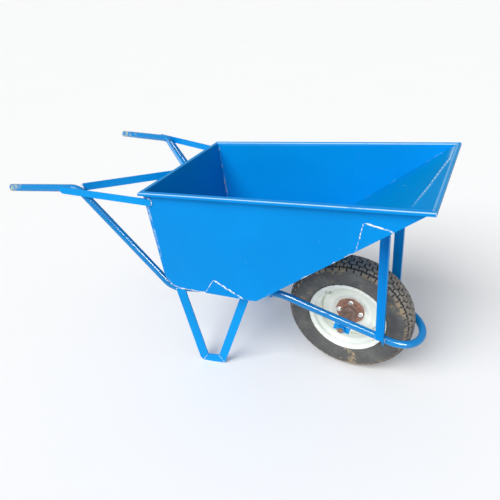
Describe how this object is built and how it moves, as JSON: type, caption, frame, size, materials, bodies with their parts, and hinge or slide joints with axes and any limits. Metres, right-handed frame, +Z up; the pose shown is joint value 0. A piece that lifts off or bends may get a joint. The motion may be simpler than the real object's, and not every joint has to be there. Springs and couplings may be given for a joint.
{
  "type": "wheelbarrow",
  "caption": "Welded steel wheelbarrow: deep open tray on bent tube handles, V-shaped flat-bar legs and a pneumatic wheel held inside a bent tube loop.",
  "frame": {"origin": "on the ground at the middle of the object's box, midway between the two legs across the barrow", "axes": "+X forward along the barrow to the wheel's end, +Y to the user's left, +Z up; the axle lies along Y"},
  "size_m": [1.5026, 0.6766, 0.8199],
  "materials": {
    "blue_paint": "gloss",
    "cream_paint": "satin",
    "rusty_steel": "rough",
    "plated_steel": "worn",
    "black_rubber": "matt"
  },
  "bodies": {
    "frame": {"tray_wrap_sheet": "blue_paint", "tray_side_right": "blue_paint", "tray_side_left": "blue_paint", "gusset_rear_right": "blue_paint", "gusset_rear_left": "blue_paint", "gusset_front_right": "blue_paint", "gusset_front_left": "blue_paint", "handle_tube_right": "blue_paint", "handle_tube_left": "blue_paint", "wheel_loop": "blue_paint", "strap_right": "blue_paint", "strap_left": "blue_paint", "rear_brace_right": "blue_paint", "rear_brace_left": "blue_paint", "leg_rear_bar_right": "blue_paint", "leg_rear_bar_left": "blue_paint", "foot_bar_right": "blue_paint", "foot_bar_left": "blue_paint", "leg_front_bar_right": "blue_paint", "leg_front_bar_left": "blue_paint", "cross_bar_rear": "blue_paint", "cross_bar_front": "blue_paint", "strut_right": "blue_paint", "strut_left": "blue_paint", "axle_bracket_right": "blue_paint", "axle_bracket_left": "blue_paint", "axle": "rusty_steel", "axle_nut_right": "rusty_steel", "axle_nut_left": "rusty_steel", "lock_nut_right": "rusty_steel", "lock_nut_left": "rusty_steel"},
    "wheel": {"tyre": "black_rubber", "inner_tube": "black_rubber", "rim_band": "cream_paint", "wheel_disc": "cream_paint", "hub": "rusty_steel", "bearing_right": "plated_steel", "bearing_left": "plated_steel", "valve_stem": "black_rubber", "lug_bolt_1": "plated_steel", "lug_bolt_2": "plated_steel", "lug_bolt_3": "plated_steel", "lug_bolt_4": "plated_steel", "lug_nut_1": "plated_steel", "lug_nut_2": "plated_steel", "lug_nut_3": "plated_steel", "lug_nut_4": "plated_steel"}
  },
  "joints": [
    {"name": "wheel_spin", "type": "hinge", "parent": "frame", "child": "wheel", "pos_m": [0.47675, 0, 0.232], "axis": [0, 1, 0], "continuous": true}
  ]
}
